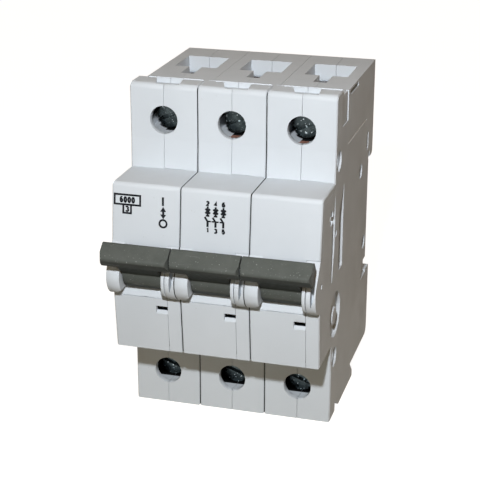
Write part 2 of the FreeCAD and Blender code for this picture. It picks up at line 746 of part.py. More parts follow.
def toggle():
    """Handle bar, neck, drum with its crank fin, and trunnions."""
    half = TOGGLE_WIDTH / 2
    front_half = TOGGLE_FRONT_WIDTH / 2
    bar = side_prism(
        [(*in_front(BAR_TOP), 1.0), (*in_front(BAR_FRONT), 0.9),
         (*in_front(BAR_BOTTOM), 0.4), (*in_front(BAR_BACK), 1.0)], -half, half)
    side = TOGGLE_PIVOT - BAR_SIDE_DEPTH
    tip = TOGGLE_PIVOT - BAR_FRONT_DEPTH
    plan = plan_prism(
        [(-half, TOGGLE_PIVOT), (-half, side), (-front_half, tip), (front_half, tip),
         (half, side), (half, TOGGLE_PIVOT)], -BAR_TOP[1], 2 * BAR_TOP[1])
    bar = bar.common(plan)
    drum_half = DRUM_WIDTH / 2
    neck = side_prism(
        [(in_front(BAR_BOTTOM)[0] + 0.2, BAR_BOTTOM[1] + 0.4),
         (in_front(BAR_BACK)[0] - 0.2, BAR_BACK[1] - 0.3),
         (TOGGLE_PIVOT - DRUM_RADIUS * 0.6, DRUM_RADIUS * 0.78), (TOGGLE_PIVOT, 0),
         in_front(NECK_LOW)], -drum_half, drum_half)
    drum = rod_x(TOGGLE_PIVOT, 0, DRUM_RADIUS, -drum_half, drum_half)
    fin_half = FIN_WIDTH / 2
    behind = TOGGLE_PIVOT + TRUNNION_RADIUS + 0.1
    for x_low, x_high in ((-drum_half - 1, -fin_half), (fin_half, drum_half + 1)):
        room = block(
            x_low, x_high, behind, behind + 2 * DRUM_RADIUS, -2 * DRUM_RADIUS, 2 * DRUM_RADIUS)
        room.rotate(V(0, TOGGLE_PIVOT, 0), V(1, 0, 0), LINK_CRANK_ANGLE)
        drum = drum.cut(room)
    shaft = rod_x(TOGGLE_PIVOT, 0, TRUNNION_RADIUS, -TRUNNION_REACH, TRUNNION_REACH)
    shape = fused([bar, neck, drum, shaft])
    hole = rod_x(*LINK_TOP, LINK_RADIUS + PIN_CLEARANCE, -fin_half - 1, fin_half + 1)
    return shape.cut(hole)


def toggles():
    """The toggles of all poles, slotted for the tie strip, and the strip."""
    tie = tie_strip(0)
    room = tie_strip(PIN_CLEARANCE)
    handle = toggle()
    return [moved(handle, pole).cut(room) for pole in range(POLES)], tie


def drive_link():
    """Bent wire that joins the drum's fin to the contact carrier."""
    top_y, top_z = LINK_TOP
    low_y, low_z = LINK_BOTTOM
    points = [
        V(-FIN_WIDTH / 2 - 0.3, top_y, top_z),
        V(LINK_OFFSET, top_y, top_z),
        V(LINK_OFFSET, low_y, low_z),
        V(-1.3, low_y, low_z),
    ]
    section = Part.Wire(Part.makeCircle(LINK_RADIUS, points[0], V(1, 0, 0)))
    mitred = 1
    return Part.makePolygon(points).makePipeShell([section], True, False, mitred)


def contact_carrier():
    """Moulded carrier: hub, slotted arm for the link, latch and blade socket."""
    hub = rod_x(CARRIER_Y, CARRIER_Z, HUB_RADIUS, -HUB_WIDTH / 2, HUB_WIDTH / 2)
    end_y, end_z = LINK_BOTTOM
    arm = side_prism(
        [(CARRIER_Y, CARRIER_Z + 2.2), (end_y - 0.4, end_z + 2.0),
         (end_y - 1.8, end_z + 0.6), (end_y - 1.8, end_z - 0.6),
         (end_y - 0.6, end_z - 1.7), (CARRIER_Y, CARRIER_Z - 2.2)], -1.0, 1.0)
    latch = side_prism(
        [(CARRIER_Y - 1.8, CARRIER_Z + 1.0), (CARRIER_Y - 1.2, CARRIER_Z + 5.0),
         (CARRIER_Y + 0.8, CARRIER_Z + 5.0), (CARRIER_Y + 1.8, CARRIER_Z + 1.0)],
        -2.4, 2.4)
    socket = side_prism(
        [(CARRIER_Y - 1.9, CARRIER_Z - 1.0), (CARRIER_Y + 2.3, CARRIER_Z - 1.0),
         (CARRIER_Y + 3.0, CARRIER_Z - 5.5), (CARRIER_Y - 1.0, CARRIER_Z - 5.5)],
        -3.4, 3.4)
    body = fused([hub, arm, latch, socket])
    room = LINK_RADIUS + LINK_SLOT_CLEARANCE
    slot = block(
        -2, 2, end_y - room, end_y + LINK_SLOT + room, end_z - room, end_z + room)
    slot.rotate(V(0, end_y, end_z), V(1, 0, 0), LINK_SLOT_ANGLE)
    cuts = [
        slot,
        rod_x(CARRIER_Y, CARRIER_Z, PIVOT_RADIUS + PIN_CLEARANCE, -5, 5),
        blade_strip(BLADE_WIDTH / 2),
    ]
    return body.cut(cuts)


def blade_strip(half):
    """Copper strip of the moving contact, from the socket to the tip."""
    face = FIXED_CONTACT_FACE - CONTACT_GAP - CONTACT_THICKNESS
    back_top = (CARRIER_Y + BLADE_SEAT[0], CARRIER_Z - BLADE_SEAT[1])
    low = CONTACT_HEIGHT - CONTACT_RADIUS
    thick = BLADE_THICKNESS
    return side_prism(
        [back_top, (face, CONTACT_HEIGHT + STRAP_REACH), (face, low), (face - thick, low),
         (face - thick, CONTACT_HEIGHT + STRAP_REACH + 0.2), (back_top[0] - thick - 0.1, back_top[1])],
        -half, half)


def moving_contact():
    """Blade with its silver tip."""
    face = FIXED_CONTACT_FACE - CONTACT_GAP
    tip = rod_y(0, CONTACT_HEIGHT, CONTACT_RADIUS, face - CONTACT_THICKNESS, face)
    return blade_strip(BLADE_WIDTH / 2).fuse(tip)


def fixed_contact():
    """Strap with the fixed tip; its foot meets the coil's yoke."""
    strap_face = FIXED_CONTACT_FACE + CONTACT_THICKNESS
    thick = FIXED_STRAP_THICKNESS
    half = FIXED_STRAP_WIDTH / 2
    low = CONTACT_HEIGHT - STRAP_REACH
    foot_low = BARRIER_Z + BARRIER_THICKNESS + 0.1
    yoke_front = COIL_FRONT - YOKE_SHEET
    strap = side_prism(
        [(strap_face, low), (strap_face + thick, low),
         (strap_face + thick, foot_low), (yoke_front - 0.1, foot_low),
         (yoke_front - 0.1, foot_low + thick), (strap_face, foot_low + thick)], -half, half)
    tip = rod_y(0, CONTACT_HEIGHT, CONTACT_RADIUS, FIXED_CONTACT_FACE, strap_face)
    return strap.fuse(tip)


def coil_yoke():
    """Inverted U of sheet steel that holds the coil."""
    half = YOKE_WIDTH / 2
    low = BARRIER_Z + BARRIER_THICKNESS + 0.1
    high = COIL_AXIS + COIL_RADIUS + 0.4
    front = COIL_FRONT - YOKE_SHEET
    back = COIL_BACK + YOKE_SHEET
    shape = side_prism(
        [(front, low), (front, high + YOKE_SHEET), (back, high + YOKE_SHEET),
         (back, low), (COIL_BACK, low), (COIL_BACK, high), (COIL_FRONT, high),
         (COIL_FRONT, low)], -half, half)
    return shape.cut(rod_y(0, COIL_AXIS, PLUNGER_RADIUS + 0.3, front - 1, COIL_FRONT + 1))


def coil_winding():
    """Winding of flat copper strip round the plunger's tube."""
    coil = strip_coil(
        "y", COIL_FRONT + 0.2, COIL_BACK - 0.2, COIL_TURNS, COIL_RADIUS, COIL_STRIP, 2.2, 8)
    coil.translate(V(0, 0, COIL_AXIS))
    return coil


def plunger():
    """Steel plunger in the coil with its brass striking pin."""
    body = rod_y(0, COIL_AXIS, PLUNGER_RADIUS, COIL_FRONT + 1.2, COIL_BACK - 0.4)
    pin = rod_y(0, COIL_AXIS, PLUNGER_PIN_RADIUS, PLUNGER_TIP, COIL_FRONT + 1.4)
    return body.fuse(pin)


def trip_lever():
    """Lever on the common trip shaft, between bimetal, plunger and latch."""
    half = TRIP_WIDTH / 2
    face = TRIP_ARM_FACE
    hub = rod_x(TRIP_Y, TRIP_Z, TRIP_HUB_RADIUS, -half, half)
    down = side_prism(
        [(TRIP_Y - 1.2, TRIP_Z), (TRIP_Y - 1.0, LATCH_TOP), (TRIP_Y + 0.8, LATCH_TOP),
         (TRIP_Y + 1.0, TRIP_Z)], -half, half)
    forward = side_prism(
        [(TRIP_Y, TRIP_Z - 1.2), (face, TRIP_Z - 0.3), (face, TRIP_ARM_TOP),
         (face + TRIP_ARM_THICKNESS, TRIP_ARM_TOP),
         (face + TRIP_ARM_THICKNESS, TRIP_Z + 1.4), (TRIP_Y, TRIP_Z + 1.4)], -half, half)
    shape = fused([hub, down, forward])
    return shape.cut(rod_x(TRIP_Y, TRIP_Z, TRIP_SHAFT_RADIUS, -half - 1, half + 1))


def bimetal():
    """Thermal strip hung from the roof of the nose, with its foot."""
    roof = NOSE_TOP - WALL - 0.3
    face = BIMETAL_FACE
    shelf = roof - 1.2
    corners = [
        (face - BIMETAL_THICKNESS, BIMETAL_TIP), (face, BIMETAL_TIP), (face, shelf),
        (face + BIMETAL_FOOT, shelf), (face + BIMETAL_FOOT, roof),
        (face - BIMETAL_THICKNESS, roof),
    ]
    return side_prism(corners, -BIMETAL_WIDTH / 2, BIMETAL_WIDTH / 2)


def arc_chute():
    """Stack of notched steel plates between two fibre cheeks."""
    left = INNER_LEFT + 0.2 + CHEEK_THICKNESS
    right = INNER_RIGHT - 0.2 - CHEEK_THICKNESS
    middle = (left + right) / 2
    solids = []
    for i in range(PLATE_COUNT):
        low = CHUTE_BOTTOM + PLATE_MARGIN + i * PLATE_PITCH
        plate = plan_prism(
            [(left, CHUTE_FRONT), (middle - PLATE_NOTCH_WIDTH / 2, CHUTE_FRONT),
             (middle, CHUTE_FRONT + PLATE_NOTCH_DEPTH),
             (middle + PLATE_NOTCH_WIDTH / 2, CHUTE_FRONT), (right, CHUTE_FRONT),
             (right, CHUTE_BACK),
             (left, CHUTE_BACK)], low, low + PLATE_THICKNESS)
        solids.append(plate)
    top = BARRIER_Z - 0.1
    for x_low in (left - CHEEK_THICKNESS, right):
        solids.append(block(
            x_low, x_low + CHEEK_THICKNESS, CHUTE_FRONT, CHUTE_BACK, CHUTE_BOTTOM, top))
    return solids


def contact_spring():
    """Torsion spring of the contact carrier, round the pivot pin."""
    low = HUB_WIDTH / 2 + 0.2
    spring = strip_coil("x", low, INNER_RIGHT - 0.2, 3, 2.0, 0.5, 0.5, 6)
    spring.translate(V(0, CARRIER_Y, CARRIER_Z))
    return spring


def flexible_braid():
    """Flat copper braid from the arc runner up to the contact's pivot."""
    floor = -CHAMBER_TOP + BRAID_SEAT
    thick = BRAID_THICKNESS
    low = CARRIER_Z - 1.9
    front = BRAID_FRONT
    corners = [
        (front + 3.4, floor), (front + 3.4, floor + thick), (front + 1.7, floor + thick),
        (front + thick, CARRIER_Z - 8.0), (CARRIER_Y + 1.8, low + 0.4),
        (CARRIER_Y + 1.0, low), (front, CARRIER_Z - 8.2), (front + 0.8, floor),
    ]
    inner = -HUB_WIDTH / 2 - 0.4
    return side_prism(corners, inner - 1.8, inner)


# Clip, rivets and pins

def rail_clip():
    """Spring-loaded rail clip with a wider tail and a screwdriver slot."""
    half = CLIP_WIDTH / 2
    tail = CLIP_TAIL_WIDTH / 2
    front = RAIL_EDGE + SLIDE_CLEARANCE
    back = front + CLIP_THICKNESS
    nose = -RAIL_HALF + RAIL_GRIP
    slide = side_prism(
        [(front, nose - 1.0), (front + 1.0, nose), (back, nose, 0.8),
         (back, -CLIP_TAIL + 1), (front, -CLIP_TAIL + 1)], -half, half)
    grip = side_prism(
        [(front, -FOOT_BOTTOM - SLIDE_CLEARANCE), (back + 0.6, -FOOT_BOTTOM - SLIDE_CLEARANCE),
         (back + 0.6, -CLIP_TAIL, 0.8), (front, -CLIP_TAIL, 0.4)], -tail, tail)
    slot = block(-2.6, 2.6, front - 1, back + 2, -CLIP_TAIL + 1.2, -CLIP_TAIL + 2.5)
    return slide.fuse(grip).removeSplitter().cut(slot)


def case_rivets():
    """Rivets that run through the whole row of modules."""
    end = (POLES - 1) * PITCH / 2 + HALF_MODULE - RECESS_DEPTH
    rivets = []
    for y, z, _ in RIVETS:
        parts = [
            rod_x(y, z, RIVET_RADIUS, -end, end),
            rod_x(y, z, RIVET_HEAD_RADIUS, end, end + RIVET_HEAD_LENGTH),
            rod_x(y, z, RIVET_HEAD_RADIUS, -end - RIVET_HEAD_LENGTH, -end),
        ]
        rivets.append(fused(parts))
    return rivets


def pole_x(pole):
    """Centre of a pole, counted from the left."""
    return (pole - (POLES - 1) / 2) * PITCH


def moved(shape, pole):
    """Copy of a shape at a pole's centre."""
    copy = shape.copy()
    copy.translate(V(pole_x(pole), 0, 0))
    return copy


def save(name, solids):
    """Write one node as a STEP file."""
    shape = solids[0] if len(solids) == 1 else Part.makeCompound(solids)
    shape.exportStep("parts/" + name + ".step")


def in_each_pole(name, shape):
    """Write one numbered node per pole."""
    for pole in range(POLES):
        save(name + "_" + str(pole + 1), [moved(shape, pole)])


def one_per_pole(shape):
    """Copies of a shape at every pole's centre."""
    return [moved(shape, pole) for pole in range(POLES)]


def main():
    os.makedirs("parts", exist_ok=True)

    end_shell, _ = case_shells(True)
    left_shell, right_shell = case_shells(False)
    for pole in range(POLES):
        base_shell = end_shell if pole == 0 else left_shell
        save("base_shell_" + str(pole + 1), [moved(base_shell, pole)])
        save("cover_shell_" + str(pole + 1), [moved(right_shell, pole)])
    save("case_rivets", case_rivets())

    handles, tie = toggles()
    for pole, handle in enumerate(handles):
        save("toggle_" + str(pole + 1), [handle])
    save("toggle_tie", [tie])
    in_each_pole("drive_link", drive_link())
    in_each_pole("contact_carrier", contact_carrier())
    in_each_pole("moving_contact", moving_contact())
    in_each_pole("fixed_contact", fixed_contact())
    in_each_pole("coil", coil_winding())
    in_each_pole("plunger", plunger())
    in_each_pole("trip_lever", trip_lever())
    in_each_pole("bimetal", bimetal())
    for pole in range(POLES):
        chute = [moved(solid, pole) for solid in arc_chute()]
        save("arc_chute_" + str(pole + 1), chute)

    in_each_pole("top_cage", terminal_cage())
    in_each_pole("bottom_cage", flipped(terminal_cage()))
    in_each_pole("top_screw", terminal_screw())
    in_each_pole("bottom_screw", flipped(terminal_screw()))
    save("terminal_straps", one_per_pole(terminal_strap()) + one_per_pole(arc_runner_strap()))

    save("coil_yokes", one_per_pole(coil_yoke()))
    save("flexible_braids", one_per_pole(flexible_braid()))
    save("contact_springs", one_per_pole(contact_spring()))
    pin_reach = HALF_MODULE - 0.7
    pin = rod_x(CARRIER_Y, CARRIER_Z, PIVOT_RADIUS, -pin_reach, pin_reach)
    save("pivot_pins", one_per_pole(pin))
    shaft_end = (POLES - 1) * PITCH / 2 + HALF_MODULE - 0.8
    save("trip_shaft", [rod_x(TRIP_Y, TRIP_Z, TRIP_SHAFT_RADIUS, -shaft_end, shaft_end)])
    in_each_pole("din_clip", rail_clip())


main()
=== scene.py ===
import json
import math

import bmesh
import bpy
from mathutils import Matrix, Vector


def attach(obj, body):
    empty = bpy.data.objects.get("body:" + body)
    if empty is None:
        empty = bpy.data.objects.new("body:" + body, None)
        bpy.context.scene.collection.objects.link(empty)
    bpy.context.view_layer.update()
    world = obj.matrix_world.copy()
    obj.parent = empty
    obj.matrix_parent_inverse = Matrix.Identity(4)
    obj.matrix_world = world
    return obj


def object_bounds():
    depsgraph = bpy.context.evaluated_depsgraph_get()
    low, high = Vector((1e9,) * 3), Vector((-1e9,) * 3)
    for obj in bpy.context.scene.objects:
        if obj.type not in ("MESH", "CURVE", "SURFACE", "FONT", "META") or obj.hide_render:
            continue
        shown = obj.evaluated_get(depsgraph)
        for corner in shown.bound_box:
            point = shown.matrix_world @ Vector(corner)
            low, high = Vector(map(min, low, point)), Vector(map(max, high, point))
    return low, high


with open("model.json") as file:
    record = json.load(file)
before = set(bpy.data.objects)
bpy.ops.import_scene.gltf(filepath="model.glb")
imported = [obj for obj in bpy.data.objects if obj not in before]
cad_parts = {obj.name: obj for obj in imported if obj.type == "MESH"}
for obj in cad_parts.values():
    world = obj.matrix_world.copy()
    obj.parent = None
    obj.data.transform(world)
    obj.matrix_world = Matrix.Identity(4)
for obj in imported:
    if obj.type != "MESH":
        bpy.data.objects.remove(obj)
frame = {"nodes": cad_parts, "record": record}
cad_box = [list(corner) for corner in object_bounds()]
MM = 0.001
scene = bpy.context.scene

# Lengths in millimetres, in the shared frame
PITCH = 18
HALF_PITCH = PITCH / 2
POLE_CENTRES = (-PITCH, 0, PITCH)

# Regions of the case that light doesn't reach, as ranges in x, y and z.
# Each pole's x is taken from its centre, and the chambers' z from the middle.
CHAMBER = (-1, 5.85), (-39.3, -14), (30, 39.1)
LIT_CORNER_X, LIT_CORNER_Z = (-6, -1.2), (30, 33.9)
POCKET = (-1, 5.6), (-58.3, -46), (-21, -9.45)
JOINT_X, JOINT_Y = (HALF_PITCH - 0.13, HALF_PITCH + 0.13), (-80, -43.2)
# Painted reflection: edge of the upper screw chambers where the copper strap's shine is painted, in
# poles 2 and 3
COPPER_REFLECTION_PLACE = (-1.2, 1.0), (-42.4, -39.3), (31, 32.6)
COPPER_REFLECTION_POLES_X = (-HALF_PITCH, 3 * HALF_PITCH)


# Materials

def node(tree, kind, **settings):
    """One shader node with its settings and unlinked input values."""
    made = tree.nodes.new(kind)
    for key, value in settings.items():
        if key.startswith("in_"):
            made.inputs[int(key[3:])].default_value = value
        else:
            setattr(made, key, value)
    return made


def noise(tree, coords, per_mm, detail, rough=0.55):
    """Noise value over the object's own coordinates, with a scale per millimetre."""
    made = node(tree, "ShaderNodeTexNoise", in_2=per_mm / MM, in_3=detail, in_4=rough)
    tree.links.new(coords.outputs["Object"], made.inputs["Vector"])
    return made.outputs["Fac"]


def remap(tree, value, low, high, out_low, out_high):
    """Value moved from one range to another, clamped."""
    made = node(
        tree, "ShaderNodeMapRange", in_1=low, in_2=high, in_3=out_low, in_4=out_high)
    tree.links.new(value, made.inputs[0])
    return made.outputs[0]


def mixed(tree, factor, first, second):
    """Colour between two, by a factor. Each is a colour or an output."""
    made = node(tree, "ShaderNodeMix", data_type="RGBA")
    tree.links.new(factor, made.inputs["Factor"])
    for socket, colour in ((made.inputs[6], first), (made.inputs[7], second)):
        if isinstance(colour, tuple):
            socket.default_value = (*colour, 1)
        else:
            tree.links.new(colour, socket)
    return made.outputs[2]


def maths(tree, operation, *values):
    """Result of an operation on outputs or numbers."""
    made = node(tree, "ShaderNodeMath", operation=operation)
    for socket, value in zip(made.inputs, values):
        if isinstance(value, float):
            socket.default_value = value
        else:
            tree.links.new(value, socket)
    return made.outputs[0]


def within(tree, value, span):
    """1 where a value in metres lies in a span in millimetres."""
    above = maths(tree, "GREATER_THAN", value, span[0] * MM)
    return maths(tree, "MULTIPLY", above, maths(tree, "LESS_THAN", value, span[1] * MM))


def inside(tree, values, spans):
    """1 where each value in metres lies in its span in millimetres."""
    total = within(tree, values[0], spans[0])
    for value, span in zip(values[1:], spans[1:]):
        total = maths(tree, "MULTIPLY", total, within(tree, value, span))
    return total


def split_axes(tree, coords, output="Object"):
    """X, Y and Z of a texture coordinate."""
    axes = node(tree, "ShaderNodeSeparateXYZ")
    tree.links.new(coords.outputs[output], axes.inputs[0])
    return axes.outputs


def from_centre(tree, x):
    """Distance in x from the centre of the nearest pole."""
    return maths(tree, "WRAP", x, HALF_PITCH * MM, -HALF_PITCH * MM)


def unlit_recess(tree, coords):
    """1 where shade is painted: in the screw chambers, behind the index pocket and in the joints of
    the fronts.
    """
    x, y, z = split_axes(tree, coords)
    pole_x = from_centre(tree, x)
    pole_width = maths(tree, "ABSOLUTE", pole_x)
    chamber = inside(tree, (pole_width, y, maths(tree, "ABSOLUTE", z)), CHAMBER)
    lit_corner = inside(tree, (pole_x, z), (LIT_CORNER_X, LIT_CORNER_Z))
    chamber = maths(tree, "SUBTRACT", chamber, lit_corner)
    pocket = inside(tree, (pole_width, y, z), POCKET)
    joint = inside(tree, (maths(tree, "ABSOLUTE", x), y), (JOINT_X, JOINT_Y))
    return maths(tree, "MAXIMUM", maths(tree, "MAXIMUM", chamber, pocket), joint)


def painted_copper_reflection(tree, coords):
    """1 on the low inner edge of the upper screw chambers, where the strap's shine is painted as a
    copper reflection.
    """
    x, y, z = split_axes(tree, coords)
    place = inside(tree, (from_centre(tree, x), y, z), COPPER_REFLECTION_PLACE)
    return maths(tree, "MULTIPLY", place, within(tree, x, COPPER_REFLECTION_POLES_X))


SPECK_AND_GLINT_EDGE = 0.05
SCRATCH_EDGE = 0.04
SCRATCH_SCALE = (40, 900, 900)
SCRATCH_PATCHES_PER_MM = 0.12
COPPER_REFLECTION_TINT = (0.30, 0.15, 0.11)
UNLIT_TINT = (0.012, 0.013, 0.014)


def scratch_marks(tree, coords, turn, threshold):
    """1 along fine scratches, in patches."""
    mapping = node(tree, "ShaderNodeMapping")
    mapping.inputs["Rotation"].default_value = turn
    mapping.inputs["Scale"].default_value = SCRATCH_SCALE
    tree.links.new(coords.outputs["Object"], mapping.inputs["Vector"])
    lines = node(tree, "ShaderNodeTexNoise", in_2=1.0, in_3=2.0)
    tree.links.new(mapping.outputs[0], lines.inputs["Vector"])
    marks = remap(tree, lines.outputs["Fac"], threshold, threshold + SCRATCH_EDGE, 0, 1)
    patches = noise(tree, coords, SCRATCH_PATCHES_PER_MM, 1)
    return maths(tree, "MULTIPLY", marks, remap(tree, patches, 0.52, 0.62, 0, 1))


def finish(
        name, colour, other, roughness, spread=0.05, metallic=0.0, level=0.5,
        mottle=0.15, grain=4.0, relief=0.006,
        scratches=None, specks_and_glints=None, painted_underside_shade=None, painted_shade_and_reflection=False):
    """Procedural finish: mottled colour and fine grain, with extras where they are named.

    mottle and grain are noise scales per millimetre, and relief is in millimetres.
    scratches holds a turn, a threshold and a colour, and specks_and_glints a scale, a threshold
    and a colour; its bright spots are painted glints on the screws and real specks elsewhere.
    painted_underside_shade is the colour painted on undersides as their shade, and
    painted_shade_and_reflection paints shade into unlit recesses and a copper reflection
    on the screw chambers' edge.
    """
    made = bpy.data.materials.new(name)
    made.use_nodes = True
    tree = made.node_tree
    shader = tree.nodes["Principled BSDF"]
    coords = node(tree, "ShaderNodeTexCoord")
    tint = mixed(
        tree, remap(tree, noise(tree, coords, mottle, 4), 0.35, 0.65, 0, 1), colour, other)
    # Spots of another colour: real specks on the mouldings, painted glints on the screws.
    if specks_and_glints:
        scale, threshold, speck_and_glint_colour = specks_and_glints
        spots = noise(tree, coords, scale, 2)
        spots = remap(tree, spots, threshold, threshold + SPECK_AND_GLINT_EDGE, 0, 1)
        tint = mixed(tree, spots, tint, speck_and_glint_colour)
    if scratches:
        turn, threshold, scratch_colour = scratches
        tint = mixed(tree, scratch_marks(tree, coords, turn, threshold), tint, scratch_colour)
    # Painted shade: faces turned downward are coloured darker, as if in shadow.
    if painted_underside_shade:
        facing_up = split_axes(tree, coords, "Normal")["Z"]
        tint = mixed(tree, remap(tree, facing_up, -0.75, -0.55, 1, 0), tint, painted_underside_shade)
    if painted_shade_and_reflection:
        # Painted reflection: copper colour on the chamber edge where the strap shines.
        tint = mixed(tree, painted_copper_reflection(tree, coords), tint, COPPER_REFLECTION_TINT)
        # Painted shade: the unlit chambers, the pocket and the front joints are coloured near
        # black.
        tint = mixed(tree, unlit_recess(tree, coords), tint, UNLIT_TINT)
    rough = remap(
        tree, noise(tree, coords, mottle * 4, 3), 0.3, 0.7, roughness - spread, roughness + spread)
    bump = node(tree, "ShaderNodeBump")
    bump.inputs["Strength"].default_value = 1.0
    bump.inputs["Distance"].default_value = relief * MM
    tree.links.new(noise(tree, coords, grain, 3), bump.inputs["Height"])
    tree.links.new(tint, shader.inputs["Base Color"])
    tree.links.new(rough, shader.inputs["Roughness"])
    tree.links.new(bump.outputs[0], shader.inputs["Normal"])
    shader.inputs["Metallic"].default_value = metallic
    shader.inputs["Specular IOR Level"].default_value = level
    return made


FINISHES = {
    # Case: painted shade in unlit recesses and joints, and a painted copper reflection.
    "case_grey": finish(
        "case_moulding", (0.60, 0.635, 0.665), (0.575, 0.61, 0.64), 0.55, 0.05, level=0.07,
        mottle=0.06, grain=5.0, relief=0.004, specks_and_glints=(1.1, 0.76, (0.42, 0.42, 0.41)),
        painted_shade_and_reflection=True),
    # Handles: undersides darkened as painted shade.
    "handle_grey": finish(
        "handle_moulding", (0.082, 0.089, 0.080), (0.097, 0.104, 0.094), 0.55, 0.06, level=0.06,
        mottle=0.25, grain=3.0, relief=0.008, specks_and_glints=(2.4, 0.68, (0.28, 0.29, 0.27)),
        scratches=((0.3, 0.2, 0.5), 0.64, (0.28, 0.29, 0.28)), painted_underside_shade=(0.022, 0.026, 0.022)),
    "zinc_steel": finish(
        "zinc_plate", (0.50, 0.55, 0.60), (0.62, 0.64, 0.66), 0.3, 0.08, metallic=1.0,
        mottle=0.5, grain=2.5, relief=0.004),
    # Screws: very dark metal with bright spots painted on as glints.
    "screw_steel": finish(
        "screw_plate_painted_glints", (0.030, 0.040, 0.044), (0.075, 0.095, 0.10), 0.24, 0.08, metallic=1.0,
        mottle=0.5, grain=1.6, relief=0.03, specks_and_glints=(1.3, 0.63, (0.60, 0.68, 0.72))),
    "spring_steel": finish(
        "spring_wire", (0.42, 0.41, 0.39), (0.52, 0.51, 0.49), 0.3, 0.05, metallic=1.0,
        mottle=0.4, grain=3.0, relief=0.003),
    "copper": finish(
        "copper_strip", (0.72, 0.36, 0.22), (0.58, 0.27, 0.17), 0.32, 0.07, metallic=1.0,
        mottle=0.3, grain=2.0, relief=0.004),
    "carrier_black": finish(
        "carrier_moulding", (0.020, 0.020, 0.022), (0.028, 0.028, 0.030), 0.5, 0.05,
        mottle=0.3, grain=4.0, relief=0.005),
    "bimetal": finish(
        "bimetal_strip", (0.52, 0.47, 0.40), (0.44, 0.39, 0.33), 0.28, 0.06, metallic=1.0,
        mottle=0.4, grain=2.0, relief=0.003),
    "clip_black": finish(
        "clip_moulding", (0.030, 0.030, 0.031), (0.040, 0.040, 0.041), 0.46, 0.05,
        mottle=0.2, grain=4.0, relief=0.006),
    "chute": finish(
        "chute_plate", (0.36, 0.33, 0.28), (0.28, 0.26, 0.23), 0.5, 0.08, metallic=0.6,
        mottle=0.3, grain=2.0, relief=0.005),
}
PRINT_INK = finish(
    "print_ink", (0.012, 0.013, 0.016), (0.022, 0.023, 0.027), 0.55, 0.05, level=0.06,
    mottle=0.8, grain=6.0, relief=0.002)
# Pale finish whose light colour is a painted highlight on the groove bed.
PAINTED_HIGHLIGHT_FINISH = finish(
    "groove_bed_painted_highlight", (0.88, 0.89, 0.88), (0.80, 0.81, 0.80), 0.5, 0.05, level=0.3,
    mottle=0.3, grain=5.0, relief=0.002)

for entry in frame["record"]["subparts"]:
    shown = frame["nodes"][entry["node"]]
    shown.data.materials.clear()
    shown.data.materials.append(FINISHES[entry["material_slot"]])


# Pieces

def piece(name, shape, finish_used, body="case"):
    """Turns a finished bmesh into a piece that rides on a body."""
    mesh = bpy.data.meshes.new(name)
    shape.to_mesh(mesh)
    shape.free()
    mesh.materials.append(finish_used)
    made = bpy.data.objects.new(name, mesh)
    scene.collection.objects.link(made)
    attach(made, body)


def prism(name, first, last, finish_used):
    """Solid between two outlines of as many points, in millimetres."""
    made = bmesh.new()
    first, last = ([made.verts.new(Vector(point) * MM) for point in ring] for ring in (first, last))
    made.faces.new(first)
    made.faces.new(last)
    for i in range(len(first)):
        j = (i + 1) % len(first)
        made.faces.new((first[i], first[j], last[j], last[i]))
    bmesh.ops.recalc_face_normals(made, faces=made.faces)
    piece(name, made, finish_used)


# Prints on the upper front of the nose

NOSE_EDGE = Vector((0, -58.2, 22.35))
NOSE_SEAM = Vector((0, -59.6, 7.2))
DOWN_NOSE = (NOSE_SEAM - NOSE_EDGE).normalized()
OUT_OF_NOSE = Vector((0, DOWN_NOSE.z, -DOWN_NOSE.y))
INK_LIFT = 0.015


def on_nose(x, z):
    """Point just above the nose's upper front face, in millimetres."""
    along = (z - NOSE_EDGE.z) / DOWN_NOSE.z
    return NOSE_EDGE + DOWN_NOSE * along + Vector((x, 0, 0)) + OUT_OF_NOSE * INK_LIFT


def print_sheet(name, outlines):
    """Ink film from closed outlines in the nose's x and z, in millimetres."""
    made = bmesh.new()
    for loop in outlines:
        made.faces.new([made.verts.new(on_nose(x, z) * MM) for x, z in loop])
    for face in made.faces:
        face.normal_update()
        if face.normal.dot(OUT_OF_NOSE) < 0:
            face.normal_flip()
    piece(name, made, PRINT_INK)


def stroke(x0, z0, x1, z1, width):
    """Outline of a straight stroke."""
    along = Vector((x1 - x0, z1 - z0)).normalized()
    side = Vector((-along.y, along.x)) * width / 2
    return [
        (x0 + side.x, z0 + side.y), (x1 + side.x, z1 + side.y),
        (x1 - side.x, z1 - side.y), (x0 - side.x, z0 - side.y)]


def frame_strokes(x0, x1, z0, z1, width):
    """Four strokes round a rectangle."""
    half = width / 2
    return [
        stroke(x0 - half, z0, x1 + half, z0, width), stroke(x0 - half, z1, x1 + half, z1, width),
        stroke(x0, z0 + half, x0, z1 - half, width), stroke(x1, z0 + half, x1, z1 - half, width)]


def circle_strokes(x, z, radius, width, count=32):
    """Short quads round a circle."""
    inner, outer = radius - width / 2, radius + width / 2
    quads = []
    for i in range(count):
        a, b = (2 * math.pi * k / count for k in (i, i + 1))
        quads.append([
            (x + r * math.cos(t), z + r * math.sin(t))
            for r, t in ((inner, a), (outer, a), (outer, b), (inner, b))])
    return quads


def arc(x, z, reach_x, reach_z, start, end, count=10):
    """Points on an arc, with its angles in degrees."""
    turns = [math.radians(start + (end - start) * i / count) for i in range(count + 1)]
    return [(x + reach_x * math.cos(turn), z + reach_z * math.sin(turn)) for turn in turns]


SHARPEST_MITRE = 0.6


